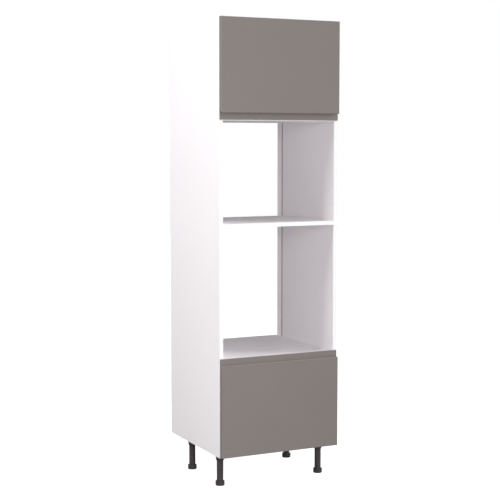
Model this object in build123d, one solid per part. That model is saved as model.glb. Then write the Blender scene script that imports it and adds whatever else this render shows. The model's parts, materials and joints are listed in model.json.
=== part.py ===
# Tall appliance housing unit, in millimetres, +Z up, front towards -Y.
# A boarded tower on four adjustable legs: a deep drawer at the bottom, two open
# appliance niches in the middle and a side-hung cupboard at the top.
# While the pieces are made, x is measured from the middle of the width, d backwards
# from the front plane of the boards, and z up from the floor.
import os

from build123d import *

# Boards of the carcass
carcass_width = 600.0
carcass_depth = 570.0
board_thickness = 18.0
banding_thickness = 1.0
banding_edge_radius = 0.3
drawer_bay_height = 409.0
oven_niche_height = 594.0
microwave_niche_height = 459.0
cupboard_height = 418.0
middle_shelf_void = 96.0
leg_height = 150.0

# Back panels and rear rails
back_panel_thickness = 8.0
service_void = 47.6
groove_clearance = 0.2
groove_depth = 8.3
back_panel_tongue = 8.0
rear_rail_height = 100.0

# Cam and dowel joints
cam_radius = 7.45
cam_thickness = 12.5
cam_from_end = 34.0
cam_from_edge = 50.0
cam_recess_width = 1.6
cam_recess_length = 9.0
cam_recess_depth = 2.5
bolt_radius = 3.2
bolt_head_radius = 3.6
bolt_head_length = 3.0
bolt_thread_radius = 2.5
bolt_thread_length = 11.0
bolt_channel_radius = 4.0
cam_slot_width = 8.0
dowel_radius = 4.0
dowel_length = 30.0
dowel_in_side = 12.0
dowel_hole_spare = 1.0
dowel_spacing = 40.0
rail_dowel_inset = 25.0
pin_fit = 0.05

# Loose cupboard shelf and its pins
shelf_side_gap = 0.5
cupboard_shelf_setback = 20.0
cupboard_shelf_back_gap = 14.4
shelf_pin_radius = 2.45
shelf_pin_in_side = 9.0
shelf_pin_reach = 9.0
shelf_pin_plate = 2.0
shelf_pin_plate_width = 10.0
shelf_pin_inset = 50.0
shelf_hole_pitch = 32.0
shelf_hole_depth = 10.0

# Wall-fixing brackets
bracket_spacing = 320.0
bracket_width = 30.0
bracket_leg = 40.0
bracket_thickness = 2.0
bracket_bend_radius = 1.5
wall_hole_radius = 3.25
wall_hole_drop = 26.0
bracket_screw_spacing = 16.0
bracket_screw_from_back = 26.0

# Wood screws
screw_head_radius = 3.5
screw_head_height = 1.8
screw_shank_radius = 1.75
screw_length = 14.0
screw_recess_width = 0.9
screw_recess_length = 4.0
screw_recess_depth = 0.9
screw_hole_clearance = 0.3

# Finger-pull fronts
front_side_reveal = 1.5
front_thickness = 19.0
front_gap = 1.5
front_edge_radius = 2.5
door_top_reveal = 0.5
door_bottom_rise = 3.5
drawer_front_bottom_reveal = 2.0
drawer_front_top_rise = 7.0
finger_height = 30.3
lip_thickness = 4.0
scoop_width = 10.0
scoop_straight = 5.0
lip_edge_radius = 0.9
bumper_radius = 4.5
bumper_thickness = 1.4
bumper_from_edge = 7.5
bumper_from_end = 60.0

# Concealed hinges, on the right
hinge_from_door_end = 100.0
cup_radius = 17.4
cup_bore_radius = 17.5
cup_depth = 12.6
cup_bore_depth = 13.0
cup_wall = 1.0
cup_from_door_edge = 3.0
cup_flange_thickness = 0.8
cup_flange_length = 62.0
cup_flange_reach = 13.0
cup_flange_side_reach = 3.0
cup_flange_corner = 5.0
cup_screw_spacing = 48.0
cup_screw_offset = 6.0
cup_pin_from_door_edge = 9.0
cup_pin_depth = 8.0
cup_pin_radius = 1.25
cup_pin_length = 23.4
hinge_pin_fit = 0.05
link_thickness = 1.5
link_width = 9.0
link_eye_radius = 2.6
link_bend_radius = 2.5
arm_pin_radius = 1.5
link_reach_across = 23.0
link_reach_back = 16.0
arm_width = 14.0
arm_sheet = 1.2
arm_pin_from_web = 2.5
arm_nose = 3.5
arm_web_setback = 14.0
arm_length = 76.0
plate_thickness = 3.0
plate_width = 18.0
plate_setback = 22.0
plate_length = 62.0
plate_corner = 3.0
plate_screw_setback = 37.0
plate_screw_spacing = 32.0

# Points of the hooked link, as shares of the way from the cup pin to the arm pin
hook_point_shares = ((0.37, -0.17), (0.76, -0.06), (0.935, 0.47))

# Drawer box
drawer_short_of_runner = 10.0
drawer_floor_gap = 14.0
side_height = 92.0
side_width = 12.0
side_sheet = 1.0
base_flange = 15.0
drawer_board = 16.0
drawer_back_height = 180.0
front_bracket_width = 15.0
front_bracket_length = 40.0
front_bracket_height = 70.0
front_bracket_sheet = 1.5
front_bracket_screw_inset = 15.0
gallery_rail_radius = 5.0
gallery_rail_rise = 150.0
gallery_rail_inset = 24.0
socket_radius = 8.0
socket_length = 10.0
socket_floor = 2.0
socket_fit = 0.05
thin_screw_length = 9.0

# Full-extension runners
runner_setback = 2.0
runner_back_gap = 12.4
runner_height = 45.0
runner_width = 12.7
runner_sheet = 1.2
runner_rise = 33.0
runner_flange = 8.5
race_gap = 0.3
middle_web_gap = 2.7
middle_flange = 6.0
drawer_member_flange = 6.5
runner_screw_inset = 35.0

# Adjustable legs
leg_inset = 44.0
front_leg_setback = 94.0
rear_leg_inset = 154.0
leg_plate_width = 62.0
leg_plate_thickness = 4.0
leg_plate_corner = 12.0
leg_screw_spacing = 44.0
collar_height = 33.0
collar_wall = 2.5
collar_flare = 3.5
collar_rib = 2.4
collar_rib_reach = 8.0
collar_rib_height = 18.0
tube_radius = 15.0
tube_wall = 3.0
tube_fit = 0.05
tube_end_wall = 6.0
foot_radius = 21.0
foot_height = 20.0
foot_rim_height = 5.0
foot_sole_height = 3.0
foot_sole_radius = 20.0
foot_notch_count = 8
foot_notch_radius = 3.0
foot_gap = 0.3
stem_radius = 8.0
stem_length = 58.0
stem_fit = 0.05
thread_pitch = 4.0
thread_depth = 0.8

# One overrun serves every cut
overrun = 5.0

# Levels and planes that follow from the sizes above
half_width = carcass_width / 2
inner_half = half_width - board_thickness
base_bottom = leg_height
base_top = base_bottom + board_thickness
lower_shelf_bottom = base_top + drawer_bay_height
lower_shelf_top = lower_shelf_bottom + board_thickness
middle_shelf_bottom = lower_shelf_top + oven_niche_height
middle_shelf_top = middle_shelf_bottom + board_thickness
upper_shelf_bottom = middle_shelf_top + microwave_niche_height
upper_shelf_top = upper_shelf_bottom + board_thickness
top_bottom = upper_shelf_top + cupboard_height
carcass_top = top_bottom + board_thickness
back_panel_setback = carcass_depth - service_void - back_panel_thickness
groove_front = back_panel_setback - groove_clearance
groove_back = back_panel_setback + back_panel_thickness + groove_clearance
front_back_plane = -front_gap
front_plane = front_back_plane - front_thickness
front_half = half_width - front_side_reveal
origin_depth = (carcass_depth + front_plane) / 2


# Plain shapes placed by their limits


def block(x0, x1, d0, d1, z0, z1):
    middle = Pos((x0 + x1) / 2, (d0 + d1) / 2, (z0 + z1) / 2)
    return middle * Box(abs(x1 - x0), abs(d1 - d0), abs(z1 - z0))


def rod_x(x0, x1, d, z, radius):
    return Pos((x0 + x1) / 2, d, z) * Rot(0, 90, 0) * Cylinder(radius, abs(x1 - x0))


def rod_d(x, d0, d1, z, radius):
    return Pos(x, (d0 + d1) / 2, z) * Rot(90, 0, 0) * Cylinder(radius, abs(d1 - d0))


def rod_z(x, d, z0, z1, radius):
    return Pos(x, d, (z0 + z1) / 2) * Cylinder(radius, abs(z1 - z0))


def save(name, shapes):
    pieces = shapes if isinstance(shapes, list) else [shapes]
    solids = [solid for piece in pieces for solid in piece.solids()]
    moved = [solid.moved(Location((0, -origin_depth, 0))) for solid in solids]
    export_step(Compound(children=moved) if len(moved) > 1 else moved[0], f"parts/{name}.step")


def screw(length=screw_length):
    """Screw whose head sits on the plane z = 0 and whose shank points down."""
    head = Pos(0, 0, screw_head_height / 2) * Cylinder(screw_head_radius, screw_head_height)
    head = fillet(head.edges().group_by(Axis.Z)[-1], screw_head_height / 2)
    recess_middle = Pos(0, 0, screw_head_height - screw_recess_depth / 2)
    for turn in (0, 90):
        slot = Box(screw_recess_length, screw_recess_width, screw_recess_depth)
        head -= recess_middle * Rot(0, 0, turn) * slot
    return head + Pos(0, 0, -length / 2) * Cylinder(screw_shank_radius, length)


screw_body = screw()
thin_screw_body = screw(thin_screw_length)


def screw_to(x, d, z, turn_x, turn_y, body=screw_body):
    return Pos(x, d, z) * Rot(turn_x, turn_y, 0) * body


# Places of the cam and dowel joints


def joint_places(depth_limit):
    front = cam_from_edge
    rear = depth_limit - cam_from_edge
    return (front, front + dowel_spacing), (rear, rear - dowel_spacing)


full_depth_limit = groove_front
middle_shelf_depth = carcass_depth - middle_shelf_void
# Each cross board: underside level, depth, whether its cams open upwards
cross_boards = {
    "base_panel": (base_bottom, carcass_depth, False),
    "lower_appliance_shelf": (lower_shelf_bottom, carcass_depth, False),
    "middle_appliance_shelf": (middle_shelf_bottom, middle_shelf_depth, False),
    "upper_fixed_shelf": (upper_shelf_bottom, carcass_depth, True),
    "top_panel": (top_bottom, carcass_depth, True),
}
# The boards that carry a back panel groove, and whether it is on their upper face
groove_on_top = {
    "base_panel": True,
    "lower_appliance_shelf": False,
    "upper_fixed_shelf": True,
    "top_panel": False,
}
rail_levels = {
    "lower_rear_rail": base_top,
    "upper_rear_rail": top_bottom - rear_rail_height,
}
rail_middle_depth = carcass_depth - board_thickness / 2


def board_joints(name):
    bottom, depth, _ = cross_boards[name]
    places = joint_places(min(depth, full_depth_limit))
    return bottom + board_thickness / 2, places


def rail_dowel_levels(name):
    bottom = rail_levels[name]
    return bottom + rail_dowel_inset, bottom + rear_rail_height - rail_dowel_inset


def cam_bolt(side, d, z):
    end = side * inner_half
    head_end = side * (inner_half - cam_from_end)
    thread = rod_x(end, end + side * bolt_thread_length, d, z, bolt_thread_radius)
    shaft = rod_x(end, head_end, d, z, bolt_radius)
    neck_start = head_end + side * bolt_head_length
    return thread + shaft + rod_x(neck_start, head_end, d, z, bolt_head_radius)


def cam_lock(side, d, bottom, upwards):
    x = side * (inner_half - cam_from_end)
    face = bottom + board_thickness if upwards else bottom
    inward = -1 if upwards else 1
    depth_end = face + inward * cam_thickness
    cam = rod_z(x, d, face, depth_end, cam_radius)
    middle = bottom + board_thickness / 2
    half_slot = cam_slot_width / 2
    reach = x + side * (cam_radius + overrun)
    stop = x - side * (bolt_head_length / 2)
    cam -= block(reach, stop, d - half_slot, d + half_slot, middle - half_slot, middle + half_slot)
    recess_end = face + inward * cam_recess_depth
    for along, across in ((cam_recess_length, cam_recess_width), (cam_recess_width, cam_recess_length)):
        half_x = along / 2
        half_d = across / 2
        cam -= block(x - half_x, x + half_x, d - half_d, d + half_d, face, recess_end)
    return cam


def dowel(side, d, z):
    start = side * (inner_half + dowel_in_side)
    return rod_x(start, start - side * dowel_length, d, z, dowel_radius)


# Carcass boards


def side_panel(side):
    inner = side * inner_half
    panel = block(inner, side * half_width, banding_thickness, carcass_depth, base_bottom, carcass_top)
    groove_floor = inner + side * groove_depth
    cuts = [
        block(inner, groove_floor, groove_front, groove_back, base_bottom - overrun, carcass_top + overrun)
    ]
    for name in cross_boards:
        z, places = board_joints(name)
        for bolt_d, dowel_d in places:
            bolt_end = inner + side * (bolt_thread_length + pin_fit)
            cuts.append(rod_x(inner, bolt_end, bolt_d, z, bolt_thread_radius + pin_fit))
            dowel_end = inner + side * (dowel_in_side + pin_fit)
            cuts.append(rod_x(inner, dowel_end, dowel_d, z, dowel_radius + pin_fit))
    for name in rail_levels:
        for z in rail_dowel_levels(name):
            dowel_end = inner + side * (dowel_in_side + pin_fit)
            cuts.append(rod_x(inner, dowel_end, rail_middle_depth, z, dowel_radius + pin_fit))
    for d in shelf_pin_depths:
        for step in (-1, 0, 1):
            z = shelf_pin_level + step * shelf_hole_pitch
            hole_end = inner + side * shelf_hole_depth
            cuts.append(rod_x(inner, hole_end, d, z, shelf_pin_radius + pin_fit))
    for d in runner_screw_depths:
        cuts.append(screw_pilot_x(inner, side, d, runner_level, screw_length - runner_sheet))
    if side > 0:
        for z in hinge_levels:
            for d in plate_screw_depths:
                cuts.append(screw_pilot_x(inner, side, d, z, screw_length - plate_thickness))
    return panel - cuts


def screw_pilot_x(x, side, d, z, depth):
    return rod_x(x, x + side * (depth + pin_fit), d, z, screw_shank_radius + pin_fit)


def cross_board(name):
    bottom, depth, upwards = cross_boards[name]
    top = bottom + board_thickness
    board = block(-inner_half, inner_half, banding_thickness, depth, bottom, top)
    z, places = board_joints(name)
    face = top if upwards else bottom
    bore_end = face - (cam_thickness + pin_fit) * (1 if upwards else -1)
    cuts = []
    for side in (-1, 1):
        end = side * inner_half
        cam_x = side * (inner_half - cam_from_end)
        for bolt_d, dowel_d in places:
            cuts.append(rod_z(cam_x, bolt_d, face, bore_end, cam_radius + pin_fit))
            cuts.append(rod_x(end, cam_x, bolt_d, z, bolt_channel_radius))
            dowel_end = end - side * (dowel_length - dowel_in_side + dowel_hole_spare)
            cuts.append(rod_x(end, dowel_end, dowel_d, z, dowel_radius + pin_fit))
    if name in groove_on_top:
        groove_face = top if groove_on_top[name] else bottom
        groove_floor = groove_face - groove_depth * (1 if groove_on_top[name] else -1)
        cuts.append(block(-inner_half, inner_half, groove_front, groove_back, groove_face, groove_floor))
    if name == "top_panel":
        for x, d in bracket_screw_places:
            cuts.append(rod_z(x, d, bottom, bracket_screw_end, screw_shank_radius + pin_fit))
    if name == "base_panel":
        for x, d in leg_screw_places:
            cuts.append(rod_z(x, d, bottom, leg_screw_end, screw_shank_radius + pin_fit))
    return board - cuts


def rear_rail(name):
    bottom = rail_levels[name]
    top = bottom + rear_rail_height
    rail = block(-inner_half, inner_half, carcass_depth - board_thickness, carcass_depth, bottom, top)
    cuts = []
    for side in (-1, 1):
        end = side * inner_half
        dowel_end = end - side * (dowel_length - dowel_in_side + dowel_hole_spare)
        for z in rail_dowel_levels(name):
            cuts.append(rod_x(end, dowel_end, rail_middle_depth, z, dowel_radius + pin_fit))
    if name == "upper_rear_rail":
        cuts += wall_holes()
    return rail - cuts


def wall_holes():
    return [
        rod_d(x, back_panel_setback - overrun, carcass_depth + overrun, wall_hole_level, wall_hole_radius)
        for x in bracket_places
    ]


def back_panel(bottom, top):
    half = inner_half + back_panel_tongue
    rear = back_panel_setback + back_panel_thickness
    lowest = bottom - back_panel_tongue
    highest = top + back_panel_tongue
    return block(-half, half, back_panel_setback, rear, lowest, highest)


def edge_banding():
    strips = []
    for side in (-1, 1):
        inner = side * inner_half
        strips.append(block(inner, side * half_width, 0, banding_thickness, base_bottom, carcass_top))
    for bottom, _, _ in cross_boards.values():
        top = bottom + board_thickness
        strips.append(block(-inner_half, inner_half, 0, banding_thickness, bottom, top))
    front = cupboard_shelf_setback
    half = inner_half - shelf_side_gap
    shelf_top = cupboard_shelf_bottom + board_thickness
    strips.append(block(-half, half, front, front + banding_thickness, cupboard_shelf_bottom, shelf_top))
    return [fillet(strip.edges().group_by(Axis.Y)[0], banding_edge_radius) for strip in strips]


# Loose shelf in the cupboard

cupboard_shelf_bottom = upper_shelf_top + (cupboard_height - board_thickness) / 2
cupboard_shelf_rear = back_panel_setback - cupboard_shelf_back_gap
shelf_pin_level = cupboard_shelf_bottom - shelf_pin_radius
shelf_pin_depths = (
    cupboard_shelf_setback + shelf_pin_inset,
    cupboard_shelf_rear - shelf_pin_inset,
)


def cupboard_shelf():
    half = inner_half - shelf_side_gap
    front = cupboard_shelf_setback + banding_thickness
    shelf_top = cupboard_shelf_bottom + board_thickness
    return block(-half, half, front, cupboard_shelf_rear, cupboard_shelf_bottom, shelf_top)


def shelf_pin(side, d):
    inner = side * inner_half
    tip = inner - side * shelf_pin_reach
    half = shelf_pin_plate_width / 2
    plate_bottom = cupboard_shelf_bottom - shelf_pin_plate
    stem = rod_x(inner + side * shelf_pin_in_side, tip, d, shelf_pin_level, shelf_pin_radius)
    return stem + block(inner, tip, d - half, d + half, plate_bottom, cupboard_shelf_bottom)


# Wall-fixing brackets under the top panel, against the upper back panel

bracket_places = (-bracket_spacing / 2, bracket_spacing / 2)
wall_hole_level = top_bottom - wall_hole_drop
bracket_screw_depth = back_panel_setback - bracket_screw_from_back
bracket_screw_end = top_bottom + screw_length - bracket_thickness + pin_fit
bracket_screw_places = [
    (x + step * bracket_screw_spacing / 2, bracket_screw_depth)
    for x in bracket_places
    for step in (-1, 1)
]


def wall_bracket(x):
    half = bracket_width / 2
    front = back_panel_setback - bracket_leg
    back = back_panel_setback
    lowest = top_bottom - bracket_leg
    flat_leg = block(x - half, x + half, front, back, top_bottom - bracket_thickness, top_bottom)
    wall_leg = block(x - half, x + half, back - bracket_thickness, back, lowest, top_bottom)
    bracket = flat_leg + wall_leg
    inner_edges = [
        edge
        for edge in bracket.edges().filter_by(Axis.X)
        if edge.center().Y < back - bracket_thickness / 2
        and edge.center().Z < top_bottom - bracket_thickness / 2
        and edge.center().Y > front + bracket_thickness
        and edge.center().Z > lowest + bracket_thickness
    ]
    bracket = fillet(inner_edges, bracket_bend_radius)
    bracket -= wall_holes()
    hole_radius = screw_shank_radius + screw_hole_clearance
    for screw_x, screw_d in bracket_screw_places:
        if abs(screw_x - x) < half:
            hole_start = top_bottom - bracket_thickness - overrun
            bracket -= rod_z(screw_x, screw_d, hole_start, top_bottom + overrun, hole_radius)
    return bracket


# Finger-pull fronts

door_top = carcass_top - door_top_reveal
door_bottom = upper_shelf_bottom + door_bottom_rise
drawer_front_bottom = base_bottom + drawer_front_bottom_reveal
drawer_front_top = lower_shelf_top + drawer_front_top_rise


def finger_front(pull_end, other_end):
    """Front whose long edge at the level pull_end has the thin lip and the scoop."""
    inward = 1 if other_end > pull_end else -1
    panel = block(-front_half, front_half, front_plane, front_back_plane, pull_end, other_end)
    half_cut = front_half + overrun
    lip_front = front_back_plane - lip_thickness
    outside = pull_end - inward * overrun
    step = pull_end + inward * finger_height
    panel -= block(-half_cut, half_cut, front_plane - overrun, lip_front, outside, step)
    scoop_front = lip_front - scoop_width
    scoop_end = step + inward * scoop_straight
    panel -= block(-half_cut, half_cut, scoop_front, lip_front, step - inward * overrun, scoop_end)
    scoop_middle = (scoop_front + lip_front) / 2
    panel -= rod_x(-half_cut, half_cut, scoop_middle, scoop_end, scoop_width / 2)
    face = panel.faces().filter_by(Axis.Y).sort_by(Axis.Y)[0]
    panel = fillet(face.edges(), front_edge_radius)
    lip_end = panel.faces().filter_by(Axis.Z).sort_by(Axis.Z)[0 if inward > 0 else -1]
    return fillet(lip_end.edges(), lip_edge_radius)


def bumper(x, z):
    pad = rod_d(x, front_back_plane, front_back_plane + bumper_thickness, z, bumper_radius)
    return fillet(pad.edges().group_by(Axis.Y)[-1], bumper_thickness / 2)


def bumpers(sides, levels):
    x = front_half - bumper_from_edge
    return [bumper(side * x, z) for side in sides for z in levels]


# Concealed hinges

hinge_levels = (door_bottom + hinge_from_door_end, door_top - hinge_from_door_end)
cup_x = front_half - cup_from_door_edge - cup_bore_radius
cup_pin_x = front_half - cup_pin_from_door_edge
cup_pin_d = front_back_plane - cup_pin_depth
arm_pin_x = cup_pin_x - link_reach_across
arm_pin_d = cup_pin_d + link_reach_back
plate_face = inner_half - plate_thickness
plate_screw_depths = (plate_screw_setback, plate_screw_setback + plate_screw_spacing)
cup_screw_x = cup_x - cup_screw_offset


def cup_screw_levels(z):
    return z - cup_screw_spacing / 2, z + cup_screw_spacing / 2


def cupboard_door():
    door = finger_front(door_bottom, door_top)
    cuts = []
    for z in hinge_levels:
        bore_end = front_back_plane - cup_bore_depth
        cuts.append(rod_d(cup_x, bore_end, front_back_plane + overrun, z, cup_bore_radius))
        for screw_z in cup_screw_levels(z):
            pilot_end = front_back_plane - thin_screw_length - pin_fit
            pilot_radius = screw_shank_radius + pin_fit
            cuts.append(rod_d(cup_screw_x, pilot_end, front_back_plane, screw_z, pilot_radius))
    return door - cuts


def hinge_cup(z):
    rim = front_back_plane + cup_flange_thickness
    cup_floor = front_back_plane - cup_depth
    flange_middle = Pos(cup_x - cup_flange_reach + (cup_flange_reach + cup_flange_side_reach) / 2, rim, z)
    flange_size = RectangleRounded(
        cup_flange_reach + cup_flange_side_reach, cup_flange_length, cup_flange_corner
    )
    flange = flange_middle * Rot(90, 0, 0) * extrude(flange_size, amount=cup_flange_thickness)
    cup = flange + rod_d(cup_x, cup_floor, front_back_plane, z, cup_radius)
    cup -= rod_d(cup_x, cup_floor + cup_wall, rim + overrun, z, cup_radius - cup_wall)
    pin_half = cup_pin_length / 2 + hinge_pin_fit
    cup -= rod_z(cup_pin_x, cup_pin_d, z - pin_half, z + pin_half, cup_pin_radius + hinge_pin_fit)
    hole_radius = screw_shank_radius + screw_hole_clearance
    for screw_z in cup_screw_levels(z):
        cup -= rod_d(cup_screw_x, front_back_plane - overrun, rim + overrun, screw_z, hole_radius)
    return cup


def cup_pin(z):
    half = cup_pin_length / 2
    return rod_z(cup_pin_x, cup_pin_d, z - half, z + half, cup_pin_radius)


def hinge_link(z):
    route = [(cup_pin_x, cup_pin_d)]
    for share_x, share_d in hook_point_shares:
        point_x = cup_pin_x - share_x * link_reach_across
        route.append((point_x, cup_pin_d + share_d * link_reach_back))
    route.append((arm_pin_x, arm_pin_d))
    plan = trace(FilletPolyline(*route, radius=link_bend_radius), line_width=link_thickness)
    plan += Pos(cup_pin_x, cup_pin_d) * Circle(link_eye_radius)
    plan += Pos(arm_pin_x, arm_pin_d) * Circle(link_eye_radius)
    plan -= Pos(cup_pin_x, cup_pin_d) * Circle(cup_pin_radius + hinge_pin_fit)
    plan -= Pos(arm_pin_x, arm_pin_d) * Circle(arm_pin_radius + hinge_pin_fit)
    return Pos(0, 0, z - link_width / 2) * extrude(plan, amount=link_width)


def hinge_arm(z):
    half = arm_width / 2
    outer_x = arm_pin_x - arm_pin_from_web
    nose = arm_pin_d - arm_nose
    tail = arm_pin_d + arm_length
    arm = block(outer_x, outer_x + arm_sheet, arm_web_setback, tail, z - half, z + half)
    for cheek in (-1, 1):
        cheek_outer = z + cheek * half
        cheek_inner = cheek_outer - cheek * arm_sheet
        arm += block(outer_x, plate_face, nose, tail, cheek_inner, cheek_outer)
    hole_radius = arm_pin_radius + hinge_pin_fit
    arm -= rod_z(arm_pin_x, arm_pin_d, z - half - overrun, z + half + overrun, hole_radius)
    return arm


def arm_pin(z):
    half = arm_width / 2
    return rod_z(arm_pin_x, arm_pin_d, z - half, z + half, arm_pin_radius)


def mounting_plate(z):
    plan = RectangleRounded(plate_width, plate_length, plate_corner)
    centre = Pos(plate_face, plate_setback + plate_length / 2, z)
    plate = centre * Rot(0, 90, 0) * extrude(plan, amount=plate_thickness)
    hole_radius = screw_shank_radius + screw_hole_clearance
    for d in plate_screw_depths:
        plate -= rod_x(plate_face - overrun, inner_half + overrun, d, z, hole_radius)
    return plate


# Drawer box and runners

drawer_bottom = base_top + drawer_floor_gap
runner_length = back_panel_setback - runner_setback - runner_back_gap
drawer_rear = front_back_plane + runner_length - drawer_short_of_runner
side_outer = inner_half - runner_width
side_inner = side_outer - side_width
side_top = drawer_bottom + side_height
base_board_bottom = drawer_bottom + side_sheet
base_board_top = base_board_bottom + drawer_board
runner_level = drawer_bottom + runner_rise
gallery_level = base_board_top + gallery_rail_rise
gallery_x = side_inner - gallery_rail_inset
drawer_back_front = drawer_rear - drawer_board
runner_screw_depths = (
    runner_setback + runner_screw_inset,
    runner_setback + runner_length / 2,
    runner_setback + runner_length - runner_screw_inset,
)
bracket_screw_levels = (
    base_board_top + front_bracket_screw_inset,
    base_board_top + front_bracket_height - front_bracket_screw_inset,
)


def drawer_side(side):
    """Folded steel side: two walls, a cap over them and a flange under the base."""
    walls_end = drawer_rear
    outer = side * side_outer
    inner = side * side_inner
    sheet = side * side_sheet
    steel = block(outer, outer - sheet, front_back_plane, walls_end, drawer_bottom, side_top)
    steel += block(inner, inner + sheet, front_back_plane, walls_end, drawer_bottom, side_top)
    cap_bottom = side_top - side_sheet
    steel += block(outer, inner, front_back_plane, walls_end, cap_bottom, side_top)
    flange_end = inner - side * base_flange
    steel += block(inner, flange_end, front_back_plane, walls_end, drawer_bottom, base_board_bottom)
    hole_radius = screw_shank_radius + screw_hole_clearance
    for d in runner_screw_depths[:2]:
        steel -= rod_x(outer + sheet, outer - sheet - sheet, d, runner_level, hole_radius)
    for z in bracket_screw_levels:
        steel -= rod_x(inner - sheet, inner + sheet + sheet, bracket_side_screw_d, z, hole_radius)
    return steel


bracket_side_screw_d = front_back_plane + front_bracket_length - front_bracket_screw_inset
bracket_front_x = side_inner - front_bracket_width / 2 - front_bracket_sheet / 2


def drawer_base():
    return block(-side_inner, side_inner, front_back_plane, drawer_rear, base_board_bottom, base_board_top)


def drawer_back():
    top = base_board_top + drawer_back_height
    return block(-side_inner, side_inner, drawer_back_front, drawer_rear, base_board_top, top)


def front_bracket(side):
    inner = side * side_inner
    sheet = side * front_bracket_sheet
    low = base_board_top
    high = base_board_top + front_bracket_height
    plate_end = inner - side * front_bracket_width
    face = front_back_plane + front_bracket_sheet
    bracket = block(inner, plate_end, front_back_plane, face, low, high)
    leg_end = front_back_plane + front_bracket_length
    bracket += block(inner, inner - sheet, front_back_plane, leg_end, low, high)
    hole_radius = screw_shank_radius + screw_hole_clearance
    for z in bracket_screw_levels:
        x = side * bracket_front_x
        bracket -= rod_d(x, front_back_plane - overrun, face + overrun, z, hole_radius)
        bracket -= rod_x(inner + sheet, inner - sheet - sheet, bracket_side_screw_d, z, hole_radius)
    return bracket


def gallery_socket(side, wall_d, direction):
    x = side * gallery_x
    mouth = wall_d + direction * socket_length
    seat = wall_d + direction * socket_floor
    body = rod_d(x, wall_d, mouth, gallery_level, socket_radius)
    past_mouth = mouth + direction * overrun
    return body - rod_d(x, seat, past_mouth, gallery_level, gallery_rail_radius + socket_fit)


def gallery_rail(side):
    start = front_back_plane + socket_floor
    end = drawer_back_front - socket_floor
    return rod_d(side * gallery_x, start, end, gallery_level, gallery_rail_radius)


def drawer_front():
    front = finger_front(drawer_front_top, drawer_front_bottom)
    pilot_end = front_back_plane - thin_screw_length + front_bracket_sheet - pin_fit
    cuts = []
    for side in (-1, 1):
        for z in bracket_screw_levels:
            x = side * bracket_front_x
            cuts.append(rod_d(x, pilot_end, front_back_plane, z, screw_shank_radius + pin_fit))
    return front - cuts


def runner_channel(side, web_x, web_end_x, flange_x, half_height, sheet):
    """Channel with its web between two x values and flanges out to flange_x."""
    low = runner_level - half_height
    high = runner_level + half_height
    start = runner_setback
    end = runner_setback + runner_length
    channel = block(side * web_x, side * web_end_x, start, end, low, high)
    channel += block(side * web_x, side * flange_x, start, end, low, low + sheet)
    channel += block(side * web_x, side * flange_x, start, end, high - sheet, high)
    return channel


def cabinet_member(side):
    web_end = inner_half - runner_sheet
    flange_end = inner_half - runner_flange
    half_height = runner_height / 2
    member = runner_channel(side, inner_half, web_end, flange_end, half_height, runner_sheet)
    hole_radius = screw_shank_radius + screw_hole_clearance
    for d in runner_screw_depths:
        near = side * (inner_half + overrun)
        far = side * (web_end - overrun)
        member -= rod_x(near, far, d, runner_level, hole_radius)
    return member


middle_web = inner_half - runner_sheet - middle_web_gap
middle_half_height = runner_height / 2 - runner_sheet - race_gap
drawer_member_half_height = middle_half_height - runner_sheet - race_gap


def middle_member(side):
    web_end = middle_web - runner_sheet
    flange_end = middle_web - middle_flange
    return runner_channel(side, middle_web, web_end, flange_end, middle_half_height, runner_sheet)


def drawer_member(side):
    web_end = side_outer + runner_sheet
    flange_end = side_outer + drawer_member_flange
    half_height = drawer_member_half_height
    member = runner_channel(side, side_outer, web_end, flange_end, half_height, runner_sheet)
    hole_radius = screw_shank_radius + screw_hole_clearance
    for d in runner_screw_depths[:2]:
        near = side * (side_outer - overrun)
        far = side * (web_end + overrun)
        member -= rod_x(near, far, d, runner_level, hole_radius)
    return member


# Adjustable legs

leg_x = half_width - leg_inset
rear_leg_setback = carcass_depth - rear_leg_inset
leg_places = {
    "front_left": (-leg_x, front_leg_setback),
    "front_right": (leg_x, front_leg_setback),
    "rear_left": (-leg_x, rear_leg_setback),
    "rear_right": (leg_x, rear_leg_setback),
}
plate_bottom = base_bottom - leg_plate_thickness
leg_screw_end = plate_bottom + screw_length + pin_fit
leg_screw_places = [
    (x + step_x * leg_screw_spacing / 2, d + step_d * leg_screw_spacing / 2)
    for x, d in leg_places.values()
    for step_x in (-1, 1)
    for step_d in (-1, 1)
]
tube_bottom = foot_height + foot_gap
collar_bottom_radius = tube_radius + collar_wall
collar_top_radius = collar_bottom_radius + collar_flare


def leg_socket(x, d):
    plan = RectangleRounded(leg_plate_width, leg_plate_width, leg_plate_corner)
    plate = Pos(0, 0, plate_bottom) * extrude(plan, amount=leg_plate_thickness)
    collar_bottom = base_bottom - collar_height
    collar_middle = Pos(0, 0, (collar_bottom + plate_bottom) / 2)
    cone_height = plate_bottom - collar_bottom
    socket = plate + collar_middle * Cone(collar_bottom_radius, collar_top_radius, cone_height)
    reach = collar_top_radius + collar_rib_reach
    rib_bottom = plate_bottom - collar_rib_height
    web = Polyline(
        (0, plate_bottom),
        (reach, plate_bottom),
        (collar_bottom_radius, rib_bottom),
        (0, rib_bottom),
        close=True,
    )
    rib = extrude(Plane.XZ * make_face(web), amount=collar_rib / 2, both=True)
    for quarter in range(4):
        socket += Rot(0, 0, 90 * quarter) * rib
    socket -= rod_z(0, 0, collar_bottom - overrun, plate_bottom, tube_radius + tube_fit)
    half = leg_screw_spacing / 2
    hole_radius = screw_shank_radius + screw_hole_clearance
    hole = rod_z(0, 0, plate_bottom - overrun, base_bottom + overrun, hole_radius)
    for step_x in (-1, 1):
        for step_d in (-1, 1):
            socket -= Pos(step_x * half, step_d * half, 0) * hole
    return Pos(x, d, 0) * socket


def leg_tube(x, d):
    tube = rod_z(x, d, tube_bottom, plate_bottom, tube_radius)
    tube -= rod_z(x, d, tube_bottom + tube_end_wall, plate_bottom + overrun, tube_radius - tube_wall)
    return tube - rod_z(x, d, tube_bottom - overrun, plate_bottom, stem_radius + stem_fit)


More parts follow.
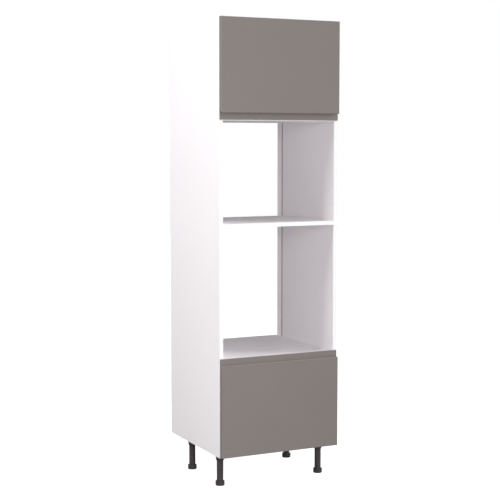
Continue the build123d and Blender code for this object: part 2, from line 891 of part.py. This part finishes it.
def leg_foot(x, d):
    sole = Pos(0, 0, foot_sole_height / 2) * Cone(foot_sole_radius, foot_radius, foot_sole_height)
    rim_bottom = foot_height - foot_rim_height
    grip = rod_z(0, 0, foot_sole_height, rim_bottom, foot_radius)
    for notch in range(foot_notch_count):
        turn = Rot(0, 0, 360 * notch / foot_notch_count)
        grip -= turn * rod_z(foot_radius + foot_notch_radius / 2, 0, 0, foot_height, foot_notch_radius)
    rim = rod_z(0, 0, rim_bottom, foot_height, foot_radius)
    stem_top = foot_height + stem_length
    core = rod_z(0, 0, foot_height, stem_top, stem_radius - thread_depth)
    foot = sole + grip + rim + core
    ring_count = int(stem_length / thread_pitch)
    for ring in range(ring_count):
        ring_bottom = foot_height + ring * thread_pitch + thread_pitch / 2
        foot += rod_z(0, 0, ring_bottom, ring_bottom + thread_pitch / 2, stem_radius)
    return Pos(x, d, 0) * foot


# Screws, grouped by what they fasten


def hinge_screws():
    screws = []
    for z in hinge_levels:
        for d in plate_screw_depths:
            screws.append(screw_to(plate_face, d, z, 0, -90))
    return screws


def cup_screws():
    rim = front_back_plane + cup_flange_thickness
    levels = [screw_z for z in hinge_levels for screw_z in cup_screw_levels(z)]
    countersunk = cup_flange_thickness
    return [flat_screw(cup_screw_x, rim, z, countersunk) for z in levels]


def flat_screw(x, d, z, head_thickness):
    """Screw with a flat head as thick as its flange, for the narrow gap behind the door."""
    start = d - head_thickness
    radius = screw_shank_radius + screw_hole_clearance - pin_fit
    shank = rod_d(x, front_back_plane - thin_screw_length, start, z, screw_shank_radius)
    return shank + rod_d(x, start, d, z, radius)


def runner_screws():
    screws = []
    for side in (-1, 1):
        head_x = side * (inner_half - runner_sheet)
        for d in runner_screw_depths:
            screws.append(screw_to(head_x, d, runner_level, 0, -90 * side))
    return screws


def drawer_screws():
    screws = []
    for side in (-1, 1):
        member_face = side * (side_outer + runner_sheet)
        for d in runner_screw_depths[:2]:
            screws.append(screw_to(member_face, d, runner_level, 0, 90 * side, thin_screw_body))
        bracket_face = side * (side_inner - front_bracket_sheet)
        front_face = front_back_plane + front_bracket_sheet
        for z in bracket_screw_levels:
            screws.append(screw_to(bracket_face, bracket_side_screw_d, z, 0, -90 * side, thin_screw_body))
            screws.append(screw_to(side * bracket_front_x, front_face, z, -90, 0, thin_screw_body))
    return screws


def bracket_screws():
    head_z = top_bottom - bracket_thickness
    return [screw_to(x, d, head_z, 180, 0) for x, d in bracket_screw_places]


def leg_screws():
    return [screw_to(x, d, plate_bottom, 180, 0) for x, d in leg_screw_places]


def build():
    os.makedirs("parts", exist_ok=True)
    both = (-1, 1)
    save("left_side_panel", side_panel(-1))
    save("right_side_panel", side_panel(1))
    cams = []
    bolts = []
    dowels = []
    for name, (bottom, _, upwards) in cross_boards.items():
        save(name, cross_board(name))
        z, places = board_joints(name)
        for side in both:
            for bolt_d, dowel_d in places:
                cams.append(cam_lock(side, bolt_d, bottom, upwards))
                bolts.append(cam_bolt(side, bolt_d, z))
                dowels.append(dowel(side, dowel_d, z))
    for name in rail_levels:
        save(name, rear_rail(name))
        dowels += [dowel(side, rail_middle_depth, z) for side in both for z in rail_dowel_levels(name)]
    save("cam_locks", cams)
    save("cam_bolts", bolts)
    save("wooden_dowels", dowels)
    save("upper_back_panel", back_panel(upper_shelf_top, top_bottom) - wall_holes())
    save("lower_back_panel", back_panel(base_top, lower_shelf_bottom))
    save("edge_banding", edge_banding())
    save("cupboard_shelf", cupboard_shelf())
    save("shelf_pins", [shelf_pin(side, d) for side in both for d in shelf_pin_depths])
    save("wall_brackets", [wall_bracket(x) for x in bracket_places])
    save("wall_bracket_screws", bracket_screws())

    save("cupboard_door", cupboard_door())
    save("hinge_cups", [hinge_cup(z) for z in hinge_levels])
    save("hinge_cup_pins", [cup_pin(z) for z in hinge_levels])
    save("hinge_cup_screws", cup_screws())
    save("hinge_links", [hinge_link(z) for z in hinge_levels])
    save("hinge_arms", [hinge_arm(z) for z in hinge_levels])
    save("hinge_arm_pins", [arm_pin(z) for z in hinge_levels])
    save("hinge_mounting_plates", [mounting_plate(z) for z in hinge_levels])
    save("hinge_plate_screws", hinge_screws())
    door_bumper_levels = (door_bottom + bumper_from_end, door_top - bumper_from_end)
    save("door_bumpers", bumpers((-1,), door_bumper_levels))

    save("drawer_front", drawer_front())
    save("drawer_left_side", drawer_side(-1))
    save("drawer_right_side", drawer_side(1))
    save("drawer_base", drawer_base())
    save("drawer_back", drawer_back())
    save("drawer_front_brackets", [front_bracket(side) for side in both])
    save("drawer_gallery_rails", [gallery_rail(side) for side in both])
    sockets = [gallery_socket(side, front_back_plane, 1) for side in both]
    sockets += [gallery_socket(side, drawer_back_front, -1) for side in both]
    save("gallery_rail_sockets", sockets)
    save("drawer_screws", drawer_screws())
    drawer_bumper_levels = (drawer_front_bottom + bumper_from_end, drawer_front_top - bumper_from_end)
    save("drawer_bumpers", bumpers(both, drawer_bumper_levels))
    for side, word in ((-1, "left"), (1, "right")):
        save(f"{word}_runner_cabinet_member", cabinet_member(side))
        save(f"{word}_runner_middle_member", middle_member(side))
        save(f"{word}_runner_drawer_member", drawer_member(side))
    save("runner_screws", runner_screws())

    for word, (x, d) in leg_places.items():
        save(f"{word}_leg_socket", leg_socket(x, d))
        save(f"{word}_leg_tube", leg_tube(x, d))
        save(f"{word}_foot", leg_foot(x, d))
    save("leg_screws", leg_screws())


build()
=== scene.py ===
import json
import math

import bpy
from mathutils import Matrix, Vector


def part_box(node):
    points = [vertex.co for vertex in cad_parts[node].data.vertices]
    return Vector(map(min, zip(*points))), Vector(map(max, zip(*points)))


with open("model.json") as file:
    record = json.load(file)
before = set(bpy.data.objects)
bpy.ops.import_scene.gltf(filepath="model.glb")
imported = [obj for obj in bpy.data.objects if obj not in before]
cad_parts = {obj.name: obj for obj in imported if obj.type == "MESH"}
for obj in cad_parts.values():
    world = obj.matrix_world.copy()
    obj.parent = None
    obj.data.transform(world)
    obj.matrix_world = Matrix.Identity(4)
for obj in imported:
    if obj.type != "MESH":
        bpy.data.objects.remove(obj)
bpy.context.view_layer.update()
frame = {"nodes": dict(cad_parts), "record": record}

MM = 0.001
# A colour mix node's two colour inputs and its colour output
MIX_FIRST, MIX_SECOND, MIX_RESULT = 6, 7, 2
nodes = frame["nodes"]

# Camera, solved from the photograph's straight edges, in the row frame
camera_place = Vector((-2.5857, -5.2872, 1.5721))
camera_tilt = math.radians(85.033)
camera_turn = math.radians(-25.930)
camera_lens_mm = 89.63
camera_sensor_mm = 36.0
camera_near = 0.05
camera_far = 100.0

# Soft studio light: an even dome, two softboxes and two far lamps, which all face the
# unit's middle
dome_strength = 0.26
backdrop_white = 1.0
lamp_target = Vector((0.0, -0.2, 1.2))
softbox_side = 1.6
# Each softbox: its place, and its power in watts
softboxes = {
    "left_high": ((-3.6, -0.2, 3.4), 128.0),
    "front_left": ((-1.35, -4.5, 1.7), 114.0),
}
# Each far lamp: the way it comes from, and its strength
far_lamps = {
    "far_right": ((0.86, -0.26, 0.44), 2.6),
    "far_front": ((0.41, -0.71, 0.57), 0.28),
}
far_lamp_distance = 6.0
far_lamp_spread = math.radians(30)

# Floor
floor_half = 14.0
floor_albedo = 0.35
floor_glow = 0.92


# Camera, light and floor


def make_camera():
    data = bpy.data.cameras.new("photo_camera")
    data.sensor_width = camera_sensor_mm
    data.lens = camera_lens_mm
    data.clip_start = camera_near
    data.clip_end = camera_far
    camera = bpy.data.objects.new("photo_camera", data)
    camera.location = camera_place
    camera.rotation_euler = (camera_tilt, 0.0, camera_turn)
    bpy.context.scene.collection.objects.link(camera)
    bpy.context.scene.camera = camera


def add(tree, kind, inputs=None, **settings):
    """Adds a node, sets its settings and its inputs' values, and returns it."""
    node = tree.nodes.new(kind)
    for name, value in settings.items():
        setattr(node, name, value)
    for name, value in (inputs or {}).items():
        node.inputs[name].default_value = value
    return node


def join(tree, output, node, name):
    tree.links.new(output, node.inputs[name])


def hang_lamp(name, kind, place, facing):
    """Adds a lamp that the camera doesn't see, turned to a point, and returns its settings."""
    data = bpy.data.lights.new(name, kind)
    lamp = bpy.data.objects.new(name, data)
    lamp.location = place
    lamp.rotation_euler = (place - facing).to_track_quat("Z", "Y").to_euler()
    lamp.visible_camera = False
    bpy.context.scene.collection.objects.link(lamp)
    return data


def make_studio_light():
    world = bpy.data.worlds.new("studio")
    world.use_nodes = True
    tree = world.node_tree
    tree.nodes.clear()
    dome = add(tree, "ShaderNodeBackground", {"Color": (1, 1, 1, 1), "Strength": dome_strength})
    white = add(tree, "ShaderNodeBackground", {"Color": (1, 1, 1, 1), "Strength": backdrop_white})
    seen = add(tree, "ShaderNodeLightPath")
    mix = add(tree, "ShaderNodeMixShader")
    join(tree, seen.outputs["Is Camera Ray"], mix, 0)
    join(tree, dome.outputs[0], mix, 1)
    join(tree, white.outputs[0], mix, 2)
    out = add(tree, "ShaderNodeOutputWorld")
    join(tree, mix.outputs[0], out, "Surface")
    bpy.context.scene.world = world
    for name, (place, power) in softboxes.items():
        box = hang_lamp(name, "AREA", Vector(place), lamp_target)
        box.shape = "SQUARE"
        box.size = softbox_side
        box.energy = power
    for name, (way, strength) in far_lamps.items():
        place = lamp_target + far_lamp_distance * Vector(way)
        far = hang_lamp(name, "SUN", place, lamp_target)
        far.angle = far_lamp_spread
        far.energy = strength


def make_floor():
    h = floor_half
    mesh = bpy.data.meshes.new("studio_floor")
    mesh.from_pydata([(-h, -h, 0), (h, -h, 0), (h, h, 0), (-h, h, 0)], [], [(0, 1, 2, 3)])
    floor = bpy.data.objects.new("studio_floor", mesh)
    bpy.context.scene.collection.objects.link(floor)
    material = bpy.data.materials.new("studio_floor")
    material.use_nodes = True
    tree = material.node_tree
    tree.nodes.clear()
    paint = add(tree, "ShaderNodeBsdfDiffuse", {"Color": (floor_albedo, floor_albedo, floor_albedo, 1)})
    glow = add(tree, "ShaderNodeEmission", {"Color": (1, 1, 1, 1)})
    seen = add(tree, "ShaderNodeLightPath")
    level = add(tree, "ShaderNodeMath", {1: floor_glow}, operation="MULTIPLY")
    join(tree, seen.outputs["Is Camera Ray"], level, 0)
    join(tree, level.outputs[0], glow, "Strength")
    both = add(tree, "ShaderNodeAddShader")
    join(tree, paint.outputs[0], both, 0)
    join(tree, glow.outputs[0], both, 1)
    out = add(tree, "ShaderNodeOutputMaterial")
    join(tree, both.outputs[0], out, "Surface")
    mesh.materials.append(material)


# Parts of materials


def new_material(name, colour, roughness, metallic=0.0):
    material = bpy.data.materials.new(name)
    material.use_nodes = True
    tree = material.node_tree
    shader = tree.nodes["Principled BSDF"]
    shader.inputs["Base Color"].default_value = (*colour, 1)
    shader.inputs["Roughness"].default_value = roughness
    shader.inputs["Metallic"].default_value = metallic
    return material, tree, shader


def spot(tree, stretch=(1, 1, 1)):
    """Place on the object in metres, squeezed or stretched."""
    place = add(tree, "ShaderNodeTexCoord")
    scaling = add(tree, "ShaderNodeMapping", {"Scale": stretch})
    join(tree, place.outputs["Object"], scaling, "Vector")
    return scaling.outputs["Vector"]


def noise(tree, size_mm, detail=2.0, roughness=0.5, stretch=(1, 1, 1)):
    values = {"Scale": 1 / (size_mm * MM), "Detail": detail, "Roughness": roughness}
    made = add(tree, "ShaderNodeTexNoise", values)
    join(tree, spot(tree, stretch), made, "Vector")
    return made.outputs["Fac"]


def chips(tree, size_mm, stretch=(1, 1, 1)):
    """A colour for each flake, all different."""
    made = add(tree, "ShaderNodeTexVoronoi", {"Scale": 1 / (size_mm * MM)})
    join(tree, spot(tree, stretch), made, "Vector")
    return made.outputs["Color"]


def spread(tree, value, low, high, from_low=0.3, from_high=0.7):
    limits = {"From Min": from_low, "From Max": from_high, "To Min": low, "To Max": high}
    made = add(tree, "ShaderNodeMapRange", limits)
    join(tree, value, made, "Value")
    return made.outputs["Result"]


def blend(tree, share, first, second):
    """Mix of two colours, each a plain colour or a node's output."""
    made = add(tree, "ShaderNodeMix", data_type="RGBA")
    join(tree, share, made, "Factor")
    for index, colour in ((MIX_FIRST, first), (MIX_SECOND, second)):
        if isinstance(colour, bpy.types.NodeSocket):
            tree.links.new(colour, made.inputs[index])
        else:
            made.inputs[index].default_value = (*colour, 1)
    return made.outputs[MIX_RESULT]


def times(tree, first, second):
    """Product of two nodes' outputs."""
    made = add(tree, "ShaderNodeMath", operation="MULTIPLY")
    join(tree, first, made, 0)
    join(tree, second, made, 1)
    return made.outputs[0]


def darkened(tree, share, colour, factor):
    """The colour, multiplied by the factor where the share is 1."""
    shaded = add(tree, "ShaderNodeMix", {0: 1.0}, data_type="RGBA", blend_type="MULTIPLY")
    join(tree, colour, shaded, MIX_FIRST)
    shaded.inputs[MIX_SECOND].default_value = (factor, factor, factor, 1)
    return blend(tree, share, colour, shaded.outputs[MIX_RESULT])


def bump(tree, shader, height, depth_mm, strength=1.0, before=None):
    made = add(tree, "ShaderNodeBump", {"Strength": strength, "Distance": depth_mm * MM})
    join(tree, height, made, "Height")
    if before is not None:
        join(tree, before, made, "Normal")
    join(tree, made.outputs["Normal"], shader, "Normal")
    return made.outputs["Normal"]


def shade(colour, factor):
    return tuple(channel * factor for channel in colour)


def drift(tree, shader, colour, amount, size_mm):
    """Very slow change of tone over the surface."""
    share = spread(tree, noise(tree, size_mm), 0.0, 1.0)
    tone = blend(tree, share, shade(colour, 1 - amount), shade(colour, 1 + amount))
    join(tree, tone, shader, "Base Color")
    return tone


# Boards

white = (0.912, 0.876, 0.897)
chip_dark = (0.26, 0.20, 0.14)
chip_mid = (0.42, 0.34, 0.25)
chip_light = (0.58, 0.49, 0.38)
# Painted shade in grooves and bores: how dark the flakes are painted there, as a share of their tone on
# open edges
painted_hollow_shade = 0.56
face_skin_mm = 0.4
board_roughness = 0.42
core_extra_roughness = 0.45


def chipboard_colour(tree):
    """Pressed wood flakes, some long and some short, with darker glue between."""
    flakes = chips(tree, size_mm=2.6, stretch=(0.55, 1, 1.3))
    single = add(tree, "ShaderNodeSeparateColor")
    join(tree, flakes, single, "Color")
    flake_tone = blend(tree, single.outputs["Red"], chip_mid, chip_light)
    dust = spread(tree, noise(tree, size_mm=1.1, detail=4.0), 0.0, 1.0, from_low=0.45, from_high=0.62)
    tone = blend(tree, dust, chip_dark, flake_tone)
    streaks = spread(tree, noise(tree, size_mm=9.0, stretch=(0.25, 1, 1)), low=0.0, high=0.35)
    return blend(tree, streaks, tone, chip_mid)


def within(tree, low, high, axis):
    """1 further than a skin's depth inside the board's two faces across an axis, 0 nearer."""
    place = add(tree, "ShaderNodeTexCoord")
    split = add(tree, "ShaderNodeSeparateXYZ")
    join(tree, place.outputs["Object"], split, 0)
    skin = face_skin_mm * MM
    above = add(tree, "ShaderNodeMath", {1: low[axis] + skin}, operation="GREATER_THAN")
    below = add(tree, "ShaderNodeMath", {1: high[axis] - skin}, operation="LESS_THAN")
    join(tree, split.outputs[axis], above, 0)
    join(tree, split.outputs[axis], below, 0)
    return times(tree, above.outputs[0], below.outputs[0])


def melamine(name, across):
    """White faced board for one node: fine pearl grain, and raw flakes wherever it is cut, with painted
    shade on the flakes inside grooves and bores.
    """
    low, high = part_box(name)
    material, tree, shader = new_material(f"white_board_{name}", white, board_roughness)
    shader.inputs["Specular IOR Level"].default_value = 0.45
    tone = drift(tree, shader, white, amount=0.008, size_mm=380)
    gloss = spread(tree, noise(tree, size_mm=45, detail=3.0), low=0.37, high=0.46)
    raw = within(tree, low, high, across)
    along, up = [axis for axis in range(3) if axis != across]
    # Painted shade: the flakes are darkened where they lie away from every face of the board, inside
    # grooves and bores
    painted_shade_share = times(tree, within(tree, low, high, along), within(tree, low, high, up))
    flakes = darkened(tree, painted_shade_share, chipboard_colour(tree), painted_hollow_shade)
    join(tree, blend(tree, raw, tone, flakes), shader, "Base Color")
    rough_core = add(tree, "ShaderNodeMath", {1: core_extra_roughness}, operation="MULTIPLY_ADD")
    join(tree, raw, rough_core, 0)
    join(tree, gloss, rough_core, 2)
    join(tree, rough_core.outputs[0], shader, "Roughness")
    pearl = noise(tree, size_mm=0.55, detail=3.0, roughness=0.6)
    fine = bump(tree, shader, pearl, depth_mm=0.02, strength=0.5)
    flake_height = times(tree, noise(tree, size_mm=1.4, detail=4.0), raw)
    bump(tree, shader, flake_height, depth_mm=0.5, strength=0.8, before=fine)
    return material


def edge_band():
    colour = (0.90, 0.89, 0.89)
    material, tree, shader = new_material("white_edge_band", colour, roughness=0.36)
    drift(tree, shader, colour, amount=0.006, size_mm=120)
    peel = noise(tree, size_mm=1.6, detail=1.0, stretch=(1, 1, 0.4))
    bump(tree, shader, peel, depth_mm=0.03, strength=0.35)
    return material


def back_board():
    colour = (0.88, 0.87, 0.872)
    material, tree, shader = new_material("white_back_panel", colour, roughness=0.5)
    drift(tree, shader, colour, amount=0.012, size_mm=260)
    join(tree, spread(tree, noise(tree, size_mm=30), low=0.46, high=0.56), shader, "Roughness")
    bump(tree, shader, noise(tree, size_mm=0.7, detail=3.0), depth_mm=0.03, strength=0.5)
    return material


def drawer_board():
    colour = (0.46, 0.47, 0.475)
    material, tree, shader = new_material("drawer_board", colour, roughness=0.5)
    drift(tree, shader, colour, amount=0.02, size_mm=90)
    linen = noise(tree, size_mm=0.9, stretch=(1, 0.3, 1))
    join(tree, spread(tree, linen, low=0.44, high=0.58), shader, "Roughness")
    bump(tree, shader, linen, depth_mm=0.03, strength=0.6)
    return material


# Fronts

taupe = (0.195, 0.174, 0.164)


def front_finish():
    """Dead-matt wrapped front: fine even grain, barely uneven tone, no wear."""
    material, tree, shader = new_material("grey_brown_front", taupe, roughness=0.6)
    shader.inputs["Specular IOR Level"].default_value = 0.35
    shader.inputs["Sheen Weight"].default_value = 0.04
    shader.inputs["Sheen Roughness"].default_value = 0.5
    tone = drift(tree, shader, taupe, amount=0.012, size_mm=240)
    speck = spread(tree, noise(tree, size_mm=0.9, detail=4.0, roughness=0.7), low=0.0, high=0.05)
    join(tree, blend(tree, speck, tone, shade(taupe, factor=1.35)), shader, "Base Color")
    join(tree, spread(tree, noise(tree, size_mm=14, detail=4.0), low=0.56, high=0.64), shader, "Roughness")
    grain = noise(tree, size_mm=0.35, detail=3.0, roughness=0.6)
    bump(tree, shader, grain, depth_mm=0.02, strength=0.6)
    return material


# Metals

# Each plated slot's look
plated_metals = {
    "zinc_cam": dict(colour=(0.52, 0.53, 0.54), roughness=0.46, mottle=0.08),
    "zinc_steel": dict(colour=(0.60, 0.61, 0.63), roughness=0.33, streak=(1, 0.05, 1)),
    "screw_steel": dict(colour=(0.58, 0.59, 0.60), roughness=0.30),
    "nickel_steel": dict(colour=(0.66, 0.64, 0.61), roughness=0.24, streak=(1, 0.1, 1)),
}


def plated(name, colour, roughness, streak=(1, 1, 1), mottle=0.05):
    """Plated steel or zinc with fine rolling streaks and a soft mottled gloss."""
    material, tree, shader = new_material(name, colour, roughness, metallic=1.0)
    drift(tree, shader, colour, amount=mottle, size_mm=6)
    streaks = noise(tree, size_mm=0.6, detail=3.0, stretch=streak)
    join(tree, spread(tree, streaks, roughness - 0.07, roughness + 0.09), shader, "Roughness")
    bump(tree, shader, streaks, depth_mm=0.02, strength=0.35)
    return material


def powder_coat():
    colour = (0.30, 0.31, 0.32)
    material, tree, shader = new_material("drawer_steel", colour, roughness=0.45, metallic=0.35)
    drift(tree, shader, colour, amount=0.02, size_mm=60)
    peel = noise(tree, size_mm=0.8)
    join(tree, spread(tree, peel, low=0.40, high=0.52), shader, "Roughness")
    bump(tree, shader, peel, depth_mm=0.04, strength=0.5)
    return material


# Plastics, pads and dowels

# Each moulded slot's look
moulded_plastics = {
    "drawer_plastic": dict(colour=(0.16, 0.165, 0.17), roughness=0.5),
    "leg_plastic": dict(colour=(0.056, 0.049, 0.054), roughness=0.55, grain_mm=0.7, specular=0.22),
}


def moulded_plastic(name, colour, roughness, grain_mm=0.5, specular=0.5):
    """Spark-eroded moulded plastic with faint flow marks."""
    material, tree, shader = new_material(name, colour, roughness)
    shader.inputs["Specular IOR Level"].default_value = specular
    drift(tree, shader, colour, amount=0.05, size_mm=25)
    grain = noise(tree, size_mm=grain_mm, detail=3.0, roughness=0.65)
    flow = noise(tree, size_mm=12, detail=3.0, stretch=(1, 1, 0.35))
    join(tree, spread(tree, flow, roughness - 0.06, roughness + 0.06), shader, "Roughness")
    bump(tree, shader, grain, depth_mm=0.05, strength=0.6)
    return material


def bumper_pad():
    colour = (0.74, 0.74, 0.73)
    material, tree, shader = new_material("bumper", colour, roughness=0.3)
    drift(tree, shader, colour, amount=0.02, size_mm=3)
    shader.inputs["Transmission Weight"].default_value = 0.45
    shader.inputs["IOR"].default_value = 1.45
    bump(tree, shader, noise(tree, size_mm=0.8), depth_mm=0.02, strength=0.4)
    return material


def beech():
    """Beech rod: short dark flecks along the grain."""
    colour = (0.60, 0.42, 0.25)
    material, tree, shader = new_material("beech_dowel", colour, roughness=0.6)
    drift(tree, shader, colour, amount=0.06, size_mm=20)
    grain = spread(tree, noise(tree, size_mm=0.6, detail=4.0, stretch=(0.08, 1, 1)), low=0.0, high=0.5)
    join(tree, blend(tree, grain, colour, (0.40, 0.25, 0.13)), shader, "Base Color")
    bump(tree, shader, grain, depth_mm=0.08, strength=0.5)
    return material


# Which node wears what


def dress(names, material):
    for name in names:
        mesh = nodes[name].data
        mesh.materials.clear()
        mesh.materials.append(material)


def slot_nodes(slot):
    return [s["node"] for s in frame["record"]["subparts"] if s["material_slot"] == slot]


def thin_axis(name):
    """The axis across a board's thickness, 0, 1 or 2."""
    low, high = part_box(name)
    return min(range(3), key=lambda axis: high[axis] - low[axis])


def dress_boards():
    for name in slot_nodes("white_board"):
        dress([name], melamine(name, thin_axis(name)))
    dress(slot_nodes("white_back_panel"), back_board())
    dress(slot_nodes("white_edge_band"), edge_band())
    dress(slot_nodes("drawer_board"), drawer_board())
    dress(slot_nodes("grey_brown_front"), front_finish())


def dress_fittings():
    for slot, look in plated_metals.items():
        dress(slot_nodes(slot), plated(slot, **look))
    dress(slot_nodes("drawer_steel"), powder_coat())
    for slot, look in moulded_plastics.items():
        dress(slot_nodes(slot), moulded_plastic(slot, **look))
    dress(slot_nodes("bumper"), bumper_pad())
    dress(slot_nodes("beech_dowel"), beech())


# The scene

bpy.context.scene.view_settings.view_transform = "Standard"
make_camera()
make_studio_light()
make_floor()
dress_boards()
dress_fittings()
